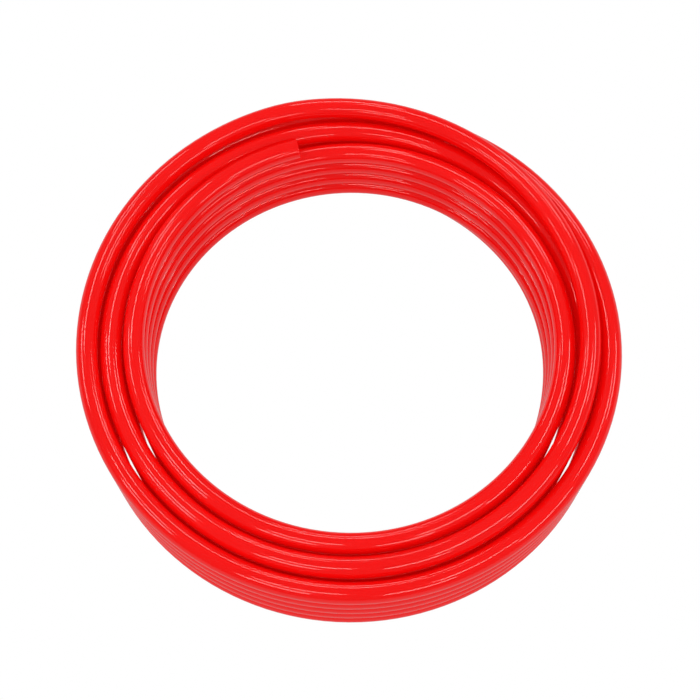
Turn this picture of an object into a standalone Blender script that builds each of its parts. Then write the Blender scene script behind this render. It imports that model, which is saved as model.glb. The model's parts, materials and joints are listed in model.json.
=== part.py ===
"""A coil of flexible air hose: one tube wound in three nested layers of five turns.

Metres, +Z up. The coil's axis is the Z axis and it lies on z = 0. A place along the hose is its wind
angle: the degrees wound from the inner end, which is on top. Azimuth 0 is the -Y side, 90 the +X side.
The inner layer runs down, the middle layer up and the outer layer down again. The last part of the
inner layer crosses under the middle one, and the last part of the middle layer over the outer one.
The middle layer's last turn is wound loosely and stands a little off the turn below it.
"""

import math

import bmesh
import bpy
from mathutils import Vector

# The tube
TUBE_OD = 0.0100
TUBE_ID = 0.0065
TUBE_SIDES = 8

# The coil: coil axis to tube centre for each layer, and centre to centre of two stacked turns
LAYER_RADII = (0.1036, 0.1148, 0.1260)
PITCH = 0.0104
TURNS = 5
INNER, MIDDLE, OUTER = range(3)
START_AZIMUTH = 194.8
CROSSOVER = 120.0
CROSSOVER_POWER = 1.4
STEP = 15.0

# The last turn of the middle layer starts loose: how far it stands off the turn below, and the angle
# over which the end of that turn comes up to meet it
LOOSE_RISE = 0.0039
LOOSE_ONSET = 75.0

# The free ends, which bend in short sections
END_SECTIONS = 8
END_ANGLE = END_SECTIONS * STEP

# Gaps between a section and the next one along the hose
SECTION_GAP = 0.0003
INNER_END_GAP = 0.0009
OUTER_END_GAP = 0.0014

HOSE_RED = (0.871, 0.011, 0.008, 1.0)
ROUGHNESS = 0.22
IOR = 1.5
SMOOTH_BELOW = math.radians(50.0)

TURN = 360.0
LAYER = TURNS * TURN
WHOLE_HOSE = len(LAYER_RADII) * LAYER
CROSSOVER_START = LAYER - CROSSOVER


def turn_height(layer, along):
    """Height of a layer's plain helix below the top of the coil, `along` degrees from its start."""
    run = PITCH * along / TURN
    return run - TURNS * PITCH if layer == MIDDLE else -run


def loose_rise(along):
    """How far the middle layer stands off its own turns below, `along` degrees from its start."""
    past = along - (LAYER - TURN)
    if past <= -LOOSE_ONSET:
        return 0.0
    if past < 0.0:
        share = 1.0 + past / LOOSE_ONSET
        return LOOSE_RISE * share**2 * (3.0 - 2.0 * share)
    return LOOSE_RISE * math.cos(math.pi / 2 * past / TURN)**2


def stacking_height(offset):
    """Height that keeps two tubes clear of each other when their centres are `offset` apart sideways."""
    if offset >= PITCH:
        return 0.0
    return min(PITCH, math.sqrt(2.0) * PITCH - offset)


def radius_and_height(wind):
    """The tube centre's distance from the coil axis, and its height below the top of the coil."""
    layer = min(int(wind // LAYER), OUTER)
    along = wind - layer * LAYER
    radius = LAYER_RADII[layer]
    height = turn_height(layer, along)
    if layer == MIDDLE:
        height += loose_rise(along)
    if layer == OUTER or along <= CROSSOVER_START:
        return radius, height
    share = (along - CROSSOVER_START) / CROSSOVER
    next_radius = LAYER_RADII[layer + 1]
    radius += (next_radius - radius) * share**CROSSOVER_POWER
    crossed = turn_height(layer + 1, along - (LAYER - TURN))
    spacing = stacking_height(next_radius - radius)
    if layer == INNER:
        return radius, min(height, crossed - spacing)
    return radius, max(height, crossed + spacing)


def ring_winds(start, end):
    """The wind angles of the mesh rings from start to end: both ends, and each whole step between."""
    count = round((end - start) / STEP)
    return [start + i * STEP for i in range(count + 1)]


def corner_radius(diameter):
    """Centre to corner of the regular polygon that has the area of a circle of this diameter."""
    corner_angle = math.tau / TUBE_SIDES
    return diameter / 2 * math.sqrt(math.tau / (TUBE_SIDES * math.sin(corner_angle)))


LOWEST_CENTRE = min(radius_and_height(wind)[1] for wind in ring_winds(0.0, WHOLE_HOSE))
TUBE_FLAT = corner_radius(TUBE_OD) * math.cos(math.pi / TUBE_SIDES)
TOP_HEIGHT = TUBE_FLAT - LOWEST_CENTRE


def outward(wind):
    azimuth = math.radians(START_AZIMUTH + wind)
    return Vector((math.sin(azimuth), -math.cos(azimuth), 0.0))


def centre(wind):
    radius, height = radius_and_height(wind)
    return outward(wind) * radius + Vector((0.0, 0.0, TOP_HEIGHT + height))


def ring(wind, diameter):
    """Corners of the tube's section in the upright plane through the coil axis, flat side down."""
    reach = corner_radius(diameter)
    middle = centre(wind)
    points = []
    for i in range(TUBE_SIDES):
        angle = (i + 0.5) * math.tau / TUBE_SIDES
        sideways = outward(wind) * math.cos(angle) * reach
        upward = Vector((0.0, 0.0, math.sin(angle) * reach))
        points.append(middle + sideways + upward)
    return points


def trimmed(rings, gap):
    """Rings with the first one moved along the hose by half a gap."""
    length = (sum(rings[1], Vector()) - sum(rings[0], Vector())).length / TUBE_SIDES
    share = gap / 2 / length
    first = [a.lerp(b, share) for a, b in zip(rings[0], rings[1])]
    return [first] + rings[1:]


def tube_rings(start, end, start_gap, end_gap, diameter):
    rings = [ring(wind, diameter) for wind in ring_winds(start, end)]
    rings = trimmed(rings, start_gap)
    return trimmed(rings[::-1], end_gap)[::-1]


def join_rings(mesh, first, second):
    """A band of faces between two rings of vertices."""
    for i in range(TUBE_SIDES):
        j = (i + 1) % TUBE_SIDES
        mesh.faces.new((first[i], first[j], second[j], second[i]))


def hose_material(name):
    material = bpy.data.materials.new(name)
    material.use_nodes = True
    surface = material.node_tree.nodes["Principled BSDF"]
    surface.inputs["Base Color"].default_value = HOSE_RED
    surface.inputs["Roughness"].default_value = ROUGHNESS
    surface.inputs["Metallic"].default_value = 0.0
    surface.inputs["IOR"].default_value = IOR
    material.diffuse_color = HOSE_RED
    return material


def hose_section(name, start, end, origin, parent, start_gap=SECTION_GAP, end_gap=SECTION_GAP):
    """One length of the tube, wall and bore, with its origin at a world point."""
    mesh = bmesh.new()
    walls = []
    for diameter in (TUBE_OD, TUBE_ID):
        rings = tube_rings(start, end, start_gap, end_gap, diameter)
        walls.append([[mesh.verts.new(point - origin) for point in points] for points in rings])
    for wall in walls:
        for first, second in zip(wall, wall[1:]):
            join_rings(mesh, first, second)
    outer_wall, bore = walls
    for end_index in (0, -1):
        join_rings(mesh, outer_wall[end_index], bore[end_index])
    bmesh.ops.recalc_face_normals(mesh, faces=mesh.faces)
    data = bpy.data.meshes.new(name)
    mesh.to_mesh(data)
    mesh.free()
    data.shade_smooth()
    data.set_sharp_from_angle(angle=SMOOTH_BELOW)
    data.materials.append(hose_material(name))
    section = bpy.data.objects.new(name, data)
    bpy.context.scene.collection.objects.link(section)
    place(section, origin, parent)
    return section


def place(thing, origin, parent):
    """Puts an unturned object's origin at a world point, under a parent that is unturned too."""
    thing.parent = parent
    thing["world_origin"] = origin
    parent_origin = Vector(parent["world_origin"]) if parent else Vector()
    thing.location = origin - parent_origin


def clear_scene():
    for thing in list(bpy.data.objects):
        bpy.data.objects.remove(thing, do_unlink=True)


def level_empties():
    """One empty on the coil axis for each level of turns, bottom first, each on the one below."""
    levels = []
    for number in range(1, TURNS + 1):
        empty = bpy.data.objects.new(f"level_{number}", None)
        bpy.context.scene.collection.objects.link(empty)
        height = TOP_HEIGHT - PITCH * (TURNS - number + 0.5)
        place(empty, Vector((0.0, 0.0, height)), levels[-1] if levels else None)
        levels.append(empty)
    return levels


def layer_turns(layer, levels):
    """The five turns of a layer, less its crossover and the free ends."""
    layer_start = layer * LAYER
    for number in range(1, TURNS + 1):
        level = number if layer == MIDDLE else TURNS + 1 - number
        start = layer_start + (number - 1) * TURN
        end = start + TURN
        start_gap = end_gap = SECTION_GAP
        if layer == INNER and number == 1:
            start += END_ANGLE
            start_gap = INNER_END_GAP
        if number == TURNS and layer == OUTER:
            end -= END_ANGLE
            end_gap = OUTER_END_GAP
        elif number == TURNS:
            end -= CROSSOVER
        name = f"{('inner', 'middle', 'outer')[layer]}_turn_{number}"
        empty = levels[level - 1]
        origin = Vector(empty["world_origin"])
        hose_section(name, start, end, origin, empty, start_gap, end_gap)


def crossover(name, layer, empty):
    """The last part of a layer, on its way out to the next layer."""
    end = (layer + 1) * LAYER
    hose_section(name, end - CROSSOVER, end, Vector(empty["world_origin"]), empty)


def inner_end(parent):
    """The free end on top of the inner layer, from the coil out to the cut face."""
    for number in range(1, END_SECTIONS + 1):
        hinge = END_ANGLE - (number - 1) * STEP
        tip_gap = 0.0 if number == END_SECTIONS else INNER_END_GAP
        name = f"inner_end_{number}"
        parent = hose_section(name, hinge - STEP, hinge, centre(hinge), parent, tip_gap, INNER_END_GAP)


def outer_end(parent):
    """The free end at the foot of the outer layer, from the coil out to the cut face."""
    for number in range(1, END_SECTIONS + 1):
        hinge = WHOLE_HOSE - END_ANGLE + (number - 1) * STEP
        tip_gap = 0.0 if number == END_SECTIONS else OUTER_END_GAP
        name = f"outer_end_{number}"
        parent = hose_section(name, hinge, hinge + STEP, centre(hinge), parent, OUTER_END_GAP, tip_gap)


def main():
    clear_scene()
    levels = level_empties()
    for layer in (INNER, MIDDLE, OUTER):
        layer_turns(layer, levels)
    crossover("bottom_crossover", INNER, levels[0])
    crossover("top_crossover", MIDDLE, levels[-1])
    inner_end(levels[-1])
    outer_end(levels[0])


main()
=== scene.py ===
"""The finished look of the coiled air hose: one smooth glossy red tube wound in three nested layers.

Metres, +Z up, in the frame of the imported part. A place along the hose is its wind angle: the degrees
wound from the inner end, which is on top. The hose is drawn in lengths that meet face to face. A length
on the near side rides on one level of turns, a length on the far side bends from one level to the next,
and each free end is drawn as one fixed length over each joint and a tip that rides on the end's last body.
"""

import json
import math

import bmesh
import bpy
import numpy as np
from mathutils import Matrix, Vector


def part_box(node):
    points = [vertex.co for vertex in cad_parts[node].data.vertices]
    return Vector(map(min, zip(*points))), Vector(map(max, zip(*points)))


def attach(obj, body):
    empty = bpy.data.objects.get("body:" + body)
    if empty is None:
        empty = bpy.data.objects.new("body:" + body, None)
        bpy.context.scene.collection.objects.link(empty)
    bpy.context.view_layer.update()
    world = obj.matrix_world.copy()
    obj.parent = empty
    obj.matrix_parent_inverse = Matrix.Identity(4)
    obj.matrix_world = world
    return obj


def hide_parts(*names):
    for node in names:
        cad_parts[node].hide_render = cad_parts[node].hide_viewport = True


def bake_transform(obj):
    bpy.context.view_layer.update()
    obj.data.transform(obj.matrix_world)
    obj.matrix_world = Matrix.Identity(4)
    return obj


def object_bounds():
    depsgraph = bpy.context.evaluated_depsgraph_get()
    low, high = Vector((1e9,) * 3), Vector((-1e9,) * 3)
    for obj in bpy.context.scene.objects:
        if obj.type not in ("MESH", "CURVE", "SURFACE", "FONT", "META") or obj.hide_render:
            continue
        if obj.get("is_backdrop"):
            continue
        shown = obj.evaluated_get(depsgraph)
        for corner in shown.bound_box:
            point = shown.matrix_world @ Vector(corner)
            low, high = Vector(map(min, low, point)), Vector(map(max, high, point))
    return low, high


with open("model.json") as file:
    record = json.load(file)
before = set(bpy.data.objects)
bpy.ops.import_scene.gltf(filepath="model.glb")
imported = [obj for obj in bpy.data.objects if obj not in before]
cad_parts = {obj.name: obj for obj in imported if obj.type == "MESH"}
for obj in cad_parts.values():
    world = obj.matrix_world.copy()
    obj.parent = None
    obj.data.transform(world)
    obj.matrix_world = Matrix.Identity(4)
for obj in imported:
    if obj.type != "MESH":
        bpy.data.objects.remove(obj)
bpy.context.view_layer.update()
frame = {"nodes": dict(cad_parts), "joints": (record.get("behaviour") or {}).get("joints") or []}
JOINTS = {joint["name"]: joint for joint in frame["joints"]}

# The tube, and the size of the bevel at its cut ends
TUBE_OD = 0.0100
TUBE_ID = 0.0065
CUT_EDGE = 0.0001
WALL_SIDES = 40
BORE_SIDES = 24
RING_STEP = 2.5

# The winding
TURN = 360.0
TURNS = 5
LAYER = TURNS * TURN
CROSSOVER = 120.0
CROSSOVER_START = LAYER - CROSSOVER
CROSSOVER_POWER = 1.4
LOOSE_RISE = 0.0039
LOOSE_ONSET = 75.0
INNER, MIDDLE, OUTER = range(3)
LAYER_NAMES = ("inner", "middle", "outer")
WHOLE_HOSE = len(LAYER_NAMES) * LAYER

# The length of hose, in degrees, over which a sudden bend is rounded off, and how it is averaged
KINK_ROUNDING = 12.0
ROUNDING_SAMPLES = 9
ROUNDING_TAIL = 1.1

# How far to each side of a ring its direction is measured, in degrees
DIRECTION_REACH = 0.5

# How a length is searched, in degrees, for the frame's turns that it stands for
SEARCH_MARGIN = 1.0
SEARCH_STEP = 5.0

# The hose's surface. A pattern's scale is its cells per metre along the hose and round it, and its
# range is the part of the noise that changes the roughness
HOSE_IOR = 1.50
HOSE_ROUGHNESS = 0.07
DRIFT_SCALE = (9.0, 60.0)
DRIFT_COLOURS = ((0.30, (0.88, 0.0026, 0.0024, 1.0)), (0.70, (0.92, 0.0036, 0.0032, 1.0)))
DRAW_LINE_SCALE = (4.0, 2600.0)
DRAW_LINE_RANGE = (0.35, 0.65)
DRAW_LINE_ROUGHNESS = 0.006
DRAW_LINE_HEIGHT = 0.0000004
MARK_SCALE = (50.0, 220.0)
MARK_RANGE = (0.50, 0.75)
MARK_ROUGHNESS = 0.02
MARK_HEIGHT = 0.0000003
WAVE_SCALE = (22.0, 55.0)
WAVE_HEIGHT = 0.000010
SMOOTH_BELOW = math.radians(30.0)

# The cut faces
CUT_ROUGHNESS = 0.50
CUT_COLOURS = ((0.0, (0.55, 0.003, 0.003, 1.0)), (1.0, (0.62, 0.006, 0.005, 1.0)))
BLADE_LINE_SCALE = 900.0
BLADE_LINE_HEIGHT = 0.00001
BLADE_LINE_STRENGTH = 0.5

# The floor
FLOOR_RADIUS = 6.0
FLOOR_SIDES = 96
FLOOR_DROP = 0.0002

# How bright the tent and the floor are, by who looks, and the two fill lights
TENT_BRIGHTNESS = {"camera": 1.0, "reflection": 0.165, "soft": 0.53}
FLOOR_BRIGHTNESS = {"camera": 1.0, "reflection": 0.50, "soft": 0.60}
FILL_FROM_ABOVE = 0.55
FILL_FROM_BELOW = 1.05
FILL_SPREAD = 170.0

# Two rings of equal strip lamps round the coil, seen from the middle of its top: degrees from straight
# up, metres away, strips in the ring, share of the ring that they fill, degrees from +X to the middle
# of the first strip, and how bright they are
LAMP_RINGS = {
    "high": {"tilt": 36.0, "distance": 0.50, "count": 6, "filled": 0.5, "first": 15.0, "brightness": 10.0},
    "low": {"tilt": 60.0, "distance": 0.38, "count": 9, "filled": 0.5, "first": 10.0, "brightness": 7.0},
}
LAMP_WIDTH = 0.03

# The camera: how far it stands in front of the middle of the coil's top and above it, in metres, how
# far below level it looks, in degrees, and its lens and sensor width, in millimetres
CAMERA_BACK = 0.2420
CAMERA_UP = 0.5519
CAMERA_DOWN_TILT = 67.29
CAMERA_LENS = 64.8
SENSOR = 36.0


def section_radius(node):
    """Coil axis to tube centre of a full turn in the frame."""
    reaches = [math.hypot(v.co.x, v.co.y) for v in frame["nodes"][node].data.vertices]
    return (min(reaches) + max(reaches)) / 2


def joint_wind_step():
    """The angle along the hose between the joints of the inner end."""
    first = JOINTS["inner_end_bend_1"]["pos_m"]
    second = JOINTS["inner_end_bend_2"]["pos_m"]
    return math.degrees(azimuth_of(first) - azimuth_of(second))


def azimuth_of(point):
    """Angle round the coil from the -Y side towards +X."""
    return math.atan2(point[0], -point[1])


LAYER_RADII = [section_radius(node) for node in ("inner_turn_3", "middle_turn_3", "outer_turn_3")]
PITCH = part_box("inner_turn_2")[0].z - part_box("inner_turn_3")[0].z
END_STEP = joint_wind_step()
END_JOINTS = len([name for name in JOINTS if name.startswith("inner_end_bend_")])
END_ANGLE = END_JOINTS * END_STEP
LAST_INNER_JOINT = JOINTS[f"inner_end_bend_{END_JOINTS}"]["pos_m"]
START_AZIMUTH = math.degrees(azimuth_of(LAST_INNER_JOINT)) - END_STEP
TOP_HEIGHT = LAST_INNER_JOINT[2] + PITCH * END_STEP / TURN


# ---------------------------------------------------------------- the hose's centre line


def turn_height(layer, along):
    """Height of a layer's plain helix below the top of the coil."""
    run = PITCH * along / TURN
    return run - TURNS * PITCH if layer == MIDDLE else -run


def loose_rise(along):
    """How far the middle layer's last turn stands off the turn below it."""
    past = along - (LAYER - TURN)
    if past <= -LOOSE_ONSET:
        return 0.0
    if past < 0.0:
        share = 1.0 + past / LOOSE_ONSET
        return LOOSE_RISE * share**2 * (3.0 - 2.0 * share)
    return LOOSE_RISE * math.cos(math.pi / 2 * past / TURN)**2


def plain_radius_and_height(wind):
    """The tube centre's distance from the coil axis and height, before the kinks are rounded."""
    wind = min(max(wind, 0.0), WHOLE_HOSE)
    layer = min(int(wind // LAYER), OUTER)
    along = wind - layer * LAYER
    radius = LAYER_RADII[layer]
    height = turn_height(layer, along)
    if layer == MIDDLE:
        height += loose_rise(along)
    if layer == OUTER or along <= CROSSOVER_START:
        return radius, height
    share = (along - CROSSOVER_START) / CROSSOVER
    next_radius = LAYER_RADII[layer + 1]
    radius += (next_radius - radius) * share**CROSSOVER_POWER
    crossed = turn_height(layer + 1, along - (LAYER - TURN))
    spacing = math.sqrt(max(PITCH**2 - (next_radius - radius) ** 2, 0.0))
    if layer == INNER:
        return radius, min(height, crossed - spacing)
    return radius, max(height, crossed + spacing)


def radius_and_height(wind):
    """The same, averaged over a short length, as a stiff tube rounds off a sudden bend."""
    total_radius = total_height = total_weight = 0.0
    for i in range(ROUNDING_SAMPLES):
        offset = (i / (ROUNDING_SAMPLES - 1) - 0.5) * KINK_ROUNDING
        weight = math.cos(math.pi * offset / (KINK_ROUNDING * ROUNDING_TAIL))
        radius, height = plain_radius_and_height(wind + offset)
        total_radius += weight * radius
        total_height += weight * height
        total_weight += weight
    return total_radius / total_weight, total_height / total_weight


def outward(wind):
    azimuth = math.radians(START_AZIMUTH + wind)
    return Vector((math.sin(azimuth), -math.cos(azimuth), 0.0))


def centre(wind):
    radius, height = radius_and_height(wind)
    return outward(wind) * radius + Vector((0.0, 0.0, TOP_HEIGHT + height))


def ring(wind, diameter, sides):
    """Points round the tube, square to its centre line."""
    tangent = (centre(wind + DIRECTION_REACH) - centre(wind - DIRECTION_REACH)).normalized()
    sideways = outward(wind)
    sideways = (sideways - tangent * sideways.dot(tangent)).normalized()
    upward = sideways.cross(tangent)
    middle = centre(wind)
    points = []
    for i in range(sides):
        angle = i * math.tau / sides
        points.append(middle + (sideways * math.cos(angle) + upward * math.sin(angle)) * diameter / 2)
    return points


def metres_along(wind):
    """Length of hose from the inner end, near enough for the surface pattern."""
    layer = min(int(wind // LAYER), OUTER)
    before = sum(LAYER_RADII[:layer]) * math.radians(LAYER)
    return before + math.radians(wind - layer * LAYER) * LAYER_RADII[layer]


# ---------------------------------------------------------------- one length of hose


def shell_rings(mesh, start, end, diameter, sides, edges):
    """Rings of vertices from start to end, drawn in by a cut edge where the length has a free cut end."""
    count = max(1, round((end - start) / RING_STEP))
    winds = [start + (end - start) * i / count for i in range(count + 1)]
    rings = [[diameter, wind] for wind in winds]
    chamfer = edges["width"] * (1 if edges["outside"] else -1)
    turn_back = math.degrees(edges["width"] / LAYER_RADII[INNER])
    if edges["start"]:
        rings.insert(1, [diameter, winds[0] + turn_back])
        rings[0][0] = diameter - 2 * chamfer
    if edges["end"]:
        rings.insert(-1, [diameter, winds[-1] - turn_back])
        rings[-1][0] = diameter - 2 * chamfer
    made = []
    for size, wind in rings:
        made.append(([mesh.verts.new(point) for point in ring(wind, size, sides)], wind))
    return made


def join_sides(mesh, uv, rings, sides, diameter):
    """The faces between the rings, mapped in metres along the hose and round it."""
    around = math.pi * diameter / sides
    faces = []
    for (first, first_wind), (second, second_wind) in zip(rings, rings[1:]):
        ends = (metres_along(first_wind), metres_along(second_wind))
        for i in range(sides):
            j = (i + 1) % sides
            face = mesh.faces.new((first[i], first[j], second[j], second[i]))
            corners = ((ends[0], i), (ends[0], i + 1), (ends[1], i + 1), (ends[1], i))
            for loop, (along, side) in zip(face.loops, corners):
                loop[uv].uv = (along, side * around)
            faces.append(face)
    return faces


def fill_end(mesh, wall, bore):
    """The cut face between the rim of the wall and the rim of the bore."""
    edges = []
    for rim in (wall, bore):
        for i, vertex in enumerate(rim):
            edges.append(mesh.edges.get((vertex, rim[(i + 1) % len(rim)])))
    made = bmesh.ops.triangle_fill(mesh, edges=edges, use_beauty=True)["geom"]
    return [part for part in made if isinstance(part, bmesh.types.BMFace)]


def hose_length(name, start, end):
    """A closed length of tube, wall and bore."""
    mesh = bmesh.new()
    uv = mesh.loops.layers.uv.new("hose")
    cut = {"start": start <= 0.0, "end": end >= WHOLE_HOSE, "width": CUT_EDGE}
    wall = shell_rings(mesh, start, end, TUBE_OD, WALL_SIDES, cut | {"outside": True})
    bore = shell_rings(mesh, start, end, TUBE_ID, BORE_SIDES, cut | {"outside": False})
    join_sides(mesh, uv, wall, WALL_SIDES, TUBE_OD)
    bore_faces = join_sides(mesh, uv, bore, BORE_SIDES, TUBE_ID)
    bmesh.ops.reverse_faces(mesh, faces=bore_faces)
    end_faces = []
    for index in (0, -1):
        end_faces += fill_end(mesh, wall[index][0], bore[index][0])
    for face in mesh.faces:
        face.smooth = True
    for face in end_faces:
        face.smooth = False
        face.material_index = 1
    bmesh.ops.recalc_face_normals(mesh, faces=mesh.faces)
    data = bpy.data.meshes.new(name)
    mesh.to_mesh(data)
    mesh.free()
    data.set_sharp_from_angle(angle=SMOOTH_BELOW)
    data.materials.append(HOSE)
    data.materials.append(CUT_FACE)
    length = bpy.data.objects.new(name, data)
    bpy.context.scene.collection.objects.link(length)
    return length


# ---------------------------------------------------------------- materials


def new_material(name):
    material = bpy.data.materials.new(name)
    material.use_nodes = True
    return material, material.node_tree.nodes, material.node_tree.links


def new_node(nodes, kind, **settings):
    node = nodes.new(kind)
    for key, value in settings.items():
        setattr(node, key, value)
    return node


def stretched(nodes, links, along, around):
    """Hose coordinates scaled so that noise comes out drawn along the tube."""
    source = new_node(nodes, "ShaderNodeUVMap", uv_map="hose")
    mapping = nodes.new("ShaderNodeMapping")
    mapping.inputs["Scale"].default_value = (along, around, 1.0)
    links.new(source.outputs["UV"], mapping.inputs["Vector"])
    return mapping.outputs["Vector"]


def noise(nodes, links, vector, detail=3.0, roughness=0.5):
    node = nodes.new("ShaderNodeTexNoise")
    node.inputs["Scale"].default_value = 1.0
    node.inputs["Detail"].default_value = detail
    node.inputs["Roughness"].default_value = roughness
    links.new(vector, node.inputs["Vector"])
    return node.outputs["Fac"]


def remap(nodes, links, source, from_range, to_range):
    """A value's range stretched to another range and held at its ends."""
    node = nodes.new("ShaderNodeMapRange")
    node.inputs["From Min"].default_value, node.inputs["From Max"].default_value = from_range
    node.inputs["To Min"].default_value, node.inputs["To Max"].default_value = to_range
    links.new(source, node.inputs["Value"])
    return node.outputs["Result"]


def combine(nodes, links, operation, first, second):
    """A sum or product of two values, each a number or another node's output."""
    node = new_node(nodes, "ShaderNodeMath", operation=operation)
    for socket, value in zip(node.inputs, (first, second)):
        if isinstance(value, float):
            socket.default_value = value
        else:
            links.new(value, socket)
    return node.outputs["Value"]


def colour_between(nodes, links, source, surface, stops):
    """The surface's colour, which runs with the source between two stops of place and colour."""
    ramp = nodes.new("ShaderNodeValToRGB")
    for element, (place, colour) in zip(ramp.color_ramp.elements, stops):
        element.position = place
        element.color = colour
    links.new(source, ramp.inputs["Fac"])
    links.new(ramp.outputs["Color"], surface.inputs["Base Color"])


def bumps(nodes, links, height, surface, distance, strength):
    """Fine relief on the surface."""
    bump = nodes.new("ShaderNodeBump")
    bump.inputs["Distance"].default_value = distance
    bump.inputs["Strength"].default_value = strength
    links.new(height, bump.inputs["Height"])
    links.new(bump.outputs["Normal"], surface.inputs["Normal"])


def hose_material():
    """Glossy extruded polyurethane: faint draw lines, slow colour drift and light handling marks."""
    material, nodes, links = new_material("hose_red")
    surface = nodes["Principled BSDF"]
    drift = noise(nodes, links, stretched(nodes, links, *DRIFT_SCALE), detail=2.0)
    draw_lines = noise(nodes, links, stretched(nodes, links, *DRAW_LINE_SCALE), detail=2.0)
    marks = noise(nodes, links, stretched(nodes, links, *MARK_SCALE), detail=3.0, roughness=0.55)
    waves = noise(nodes, links, stretched(nodes, links, *WAVE_SCALE), detail=1.0)
    colour_between(nodes, links, drift, surface, DRIFT_COLOURS)

    dull = remap(nodes, links, marks, MARK_RANGE, (0.0, MARK_ROUGHNESS))
    lines = remap(nodes, links, draw_lines, DRAW_LINE_RANGE, (0.0, DRAW_LINE_ROUGHNESS))
    roughness = combine(nodes, links, "ADD", combine(nodes, links, "ADD", dull, lines), HOSE_ROUGHNESS)
    links.new(roughness, surface.inputs["Roughness"])
    surface.inputs["IOR"].default_value = HOSE_IOR

    height = combine(nodes, links, "ADD",
                     combine(nodes, links, "MULTIPLY", draw_lines, DRAW_LINE_HEIGHT),
                     combine(nodes, links, "MULTIPLY", waves, WAVE_HEIGHT))
    height = combine(nodes, links, "ADD", height, combine(nodes, links, "MULTIPLY", marks, MARK_HEIGHT))
    bumps(nodes, links, height, surface, distance=1.0, strength=1.0)
    return material


def cut_material():
    """The cut through the wall: the same red, duller, with the blade's fine parallel lines."""
    material, nodes, links = new_material("hose_cut_face")
    surface = nodes["Principled BSDF"]
    place = nodes.new("ShaderNodeTexCoord")
    blade = new_node(nodes, "ShaderNodeTexWave", wave_type="BANDS", bands_direction="Z")
    blade.inputs["Scale"].default_value = BLADE_LINE_SCALE
    blade.inputs["Distortion"].default_value = 2.5
    blade.inputs["Detail"].default_value = 2.0
    links.new(place.outputs["Object"], blade.inputs["Vector"])
    colour_between(nodes, links, blade.outputs["Fac"], surface, CUT_COLOURS)
    surface.inputs["Roughness"].default_value = CUT_ROUGHNESS
    bumps(nodes, links, blade.outputs["Fac"], surface, BLADE_LINE_HEIGHT, BLADE_LINE_STRENGTH)
    return material


HOSE = hose_material()
CUT_FACE = cut_material()


# ---------------------------------------------------------------- the coil


def rigid_lengths():
    """(start, end, level) of each length that keeps to one level, in order along the hose."""
    levels = list(range(TURNS, 0, -1)) + list(range(2, TURNS + 1)) + list(range(TURNS - 1, 0, -1))
    half = TURN / 2
    lengths = []
    start = half / 2
    for index, level in enumerate(levels):
        turns_back = 0 < index < len(levels) - 1 and level in (1, TURNS)
        end = start + half + (TURN if turns_back else 0.0)
        lengths.append([start, end, level])
        start = end + half
    lengths[0][0] = END_ANGLE + END_STEP / 2
    lengths[-1][1] = WHOLE_HOSE - END_ANGLE - END_STEP / 2
    return lengths


def turn_node(wind):
    """The frame's node for the plain turn at a wind angle."""
    layer = min(int(wind // LAYER), OUTER)
    return f"{LAYER_NAMES[layer]}_turn_{int((wind - layer * LAYER) // TURN) + 1}"


def nodes_between(start, end):
    """The frame's turns that a length of hose stands for."""
    names = {turn_node(wind) for wind in np.arange(start + SEARCH_MARGIN, end, SEARCH_STEP)}
    if start < LAYER < end:
        names.add("bottom_crossover")
    if start < 2 * LAYER < end:
        names.add("top_crossover")
    return sorted(names)


def blend_across_coil(piece):
    """A far half of a turn, which runs from one level to the next across the coil: its place is baked into
    its mesh.
    """
    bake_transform(piece)


def coil():
    """The lengths that keep to one level, and those that bend from one level to the next."""
    lengths = rigid_lengths()
    for start, end, level in lengths:
        piece = hose_length(f"hose_level_{level}_at_{int(start)}", start, end)
        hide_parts(*nodes_between(start, end))
        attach(piece, f"level_{level}")
    for before, after in zip(lengths, lengths[1:]):
        start, end = before[1], after[0]
        piece = hose_length(f"hose_level_{before[2]}_to_{after[2]}_at_{int(start)}", start, end)
        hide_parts(*nodes_between(start, end))
        blend_across_coil(piece)


def free_end(name, root_level, joint_winds, towards_tip):
    """A free end: one length over each bend, and a stiff tip."""
    bodies = [root_level] + [f"{name}_{i + 1}" for i in range(END_JOINTS)]
    half = END_STEP / 2 * towards_tip
    for i, wind in enumerate(joint_winds):
        piece = hose_length(f"{name}_bend_{i + 1}", *sorted((wind - half, wind + half)))
        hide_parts(bodies[i + 1])
        centre(wind - half)
        centre(wind + half)
        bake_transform(piece)
    tip = hose_length(f"{name}_tip", *sorted((joint_winds[-1] + half, joint_winds[-1] + 2 * half)))
    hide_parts(bodies[-1])
    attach(tip, bodies[-1])


coil()
free_end("inner_end", f"level_{TURNS}", [END_ANGLE - i * END_STEP for i in range(END_JOINTS)], -1)
free_end("outer_end", "level_1",
         [WHOLE_HOSE - END_ANGLE + i * END_STEP for i in range(END_JOINTS)], 1)


# ---------------------------------------------------------------- floor, light and camera


def seen_as(nodes, links, target, brightness):
    """Plain light whose brightness depends on who looks: the camera, a reflection or the soft light."""
    ray = nodes.new("ShaderNodeLightPath")
    strength = brightness["soft"]
    for output, name in (("Is Glossy Ray", "reflection"), ("Is Camera Ray", "camera")):
        step = new_node(nodes, "ShaderNodeMix", data_type="FLOAT")
        links.new(ray.outputs[output], step.inputs["Factor"])
        if isinstance(strength, float):
            step.inputs["A"].default_value = strength
        else:
            links.new(strength, step.inputs["A"])
        step.inputs["B"].default_value = brightness[name]
        strength = step.outputs["Result"]
    links.new(strength, target)


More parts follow.
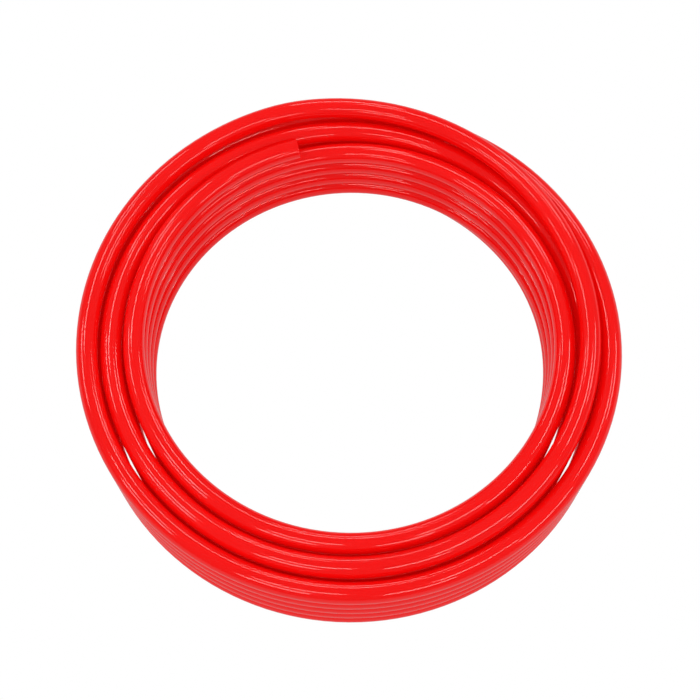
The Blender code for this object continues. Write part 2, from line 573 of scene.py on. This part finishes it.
def floor():
    """A pale board that lights the coil softly from below."""
    material, nodes, links = new_material("pale_floor")
    nodes.remove(nodes["Principled BSDF"])
    glow = nodes.new("ShaderNodeEmission")
    seen_as(nodes, links, glow.inputs["Strength"], FLOOR_BRIGHTNESS)
    links.new(glow.outputs["Emission"], nodes["Material Output"].inputs["Surface"])
    mesh = bmesh.new()
    bmesh.ops.create_circle(mesh, cap_ends=True, segments=FLOOR_SIDES, radius=FLOOR_RADIUS)
    data = bpy.data.meshes.new("floor")
    mesh.to_mesh(data)
    mesh.free()
    data.materials.append(material)
    plate = bpy.data.objects.new("floor", data)
    plate.location = (0.0, 0.0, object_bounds()[0].z - FLOOR_DROP)
    bpy.context.scene.collection.objects.link(plate)
    plate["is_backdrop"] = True


def surroundings():
    """A large soft white tent, darker where the hose mirrors it."""
    world = bpy.data.worlds.new("studio")
    world.use_nodes = True
    nodes, links = world.node_tree.nodes, world.node_tree.links
    seen_as(nodes, links, nodes["Background"].inputs["Strength"], TENT_BRIGHTNESS)
    nodes["Background"].inputs["Color"].default_value = (1.0, 1.0, 1.0, 1.0)
    bpy.context.scene.world = world


def fill(name, tilt, brightness):
    """Shadowless light from one whole side of the coil, which brightens the depth of the grooves."""
    data = bpy.data.lights.new(name, "SUN")
    data.energy = brightness * math.pi
    data.angle = math.radians(FILL_SPREAD)
    data.use_shadow = False
    thing = bpy.data.objects.new(name, data)
    thing.rotation_euler = (tilt, 0.0, 0.0)
    thing.visible_camera = False
    thing.visible_glossy = False
    bpy.context.scene.collection.objects.link(thing)


def lamp_place(tilt, turn, distance):
    """A place in the room, seen from the middle of the coil's top."""
    tilt, turn = math.radians(tilt), math.radians(turn)
    towards = Vector((math.sin(tilt) * math.cos(turn), math.sin(tilt) * math.sin(turn), math.cos(tilt)))
    return Vector((0.0, 0.0, TOP_HEIGHT)) + towards * distance


def lamp(name, first, second, brightness):
    """A strip lamp between two places, facing the coil, which shows as a bright line along the tube.

    The tube mirrors it once: its light isn't passed on from turn to turn.
    """
    length = (second - first).length
    data = bpy.data.lights.new(name, "AREA")
    data.shape = "RECTANGLE"
    data.size = length
    data.size_y = LAMP_WIDTH
    data.energy = brightness * math.pi * length * LAMP_WIDTH
    data.cycles.max_bounces = 0
    thing = bpy.data.objects.new(name, data)
    thing.location = (first + second) / 2
    along = (second - first).normalized()
    away = thing.location - Vector((0.0, 0.0, TOP_HEIGHT))
    away = (away - along * away.dot(along)).normalized()
    thing.rotation_euler = Matrix((along, away.cross(along), away)).transposed().to_euler()
    thing.visible_camera = False
    thing.visible_diffuse = False
    bpy.context.scene.collection.objects.link(thing)


def lamp_ring(name, tilt, distance, count, filled, first, brightness):
    """Strip lamps spaced evenly in a ring."""
    spacing = TURN / count
    half = spacing * filled / 2
    for number in range(count):
        turn = first + number * spacing
        ends = [lamp_place(tilt, turn + offset, distance) for offset in (-half, half)]
        lamp(f"{name}_lamp_{number + 1}", *ends, brightness)


def camera():
    data = bpy.data.cameras.new("camera")
    data.sensor_width = SENSOR
    data.lens = CAMERA_LENS
    thing = bpy.data.objects.new("camera", data)
    thing.location = (0.0, -CAMERA_BACK, TOP_HEIGHT + CAMERA_UP)
    thing.rotation_euler = (math.radians(90.0 - CAMERA_DOWN_TILT), 0.0, 0.0)
    bpy.context.scene.collection.objects.link(thing)
    bpy.context.scene.camera = thing


floor()
surroundings()
fill("fill_from_above", 0.0, FILL_FROM_ABOVE)
fill("fill_from_below", math.pi, FILL_FROM_BELOW)
for ring_name, ring_settings in LAMP_RINGS.items():
    lamp_ring(ring_name, **ring_settings)
camera()
bpy.context.scene.view_settings.view_transform = "Standard"
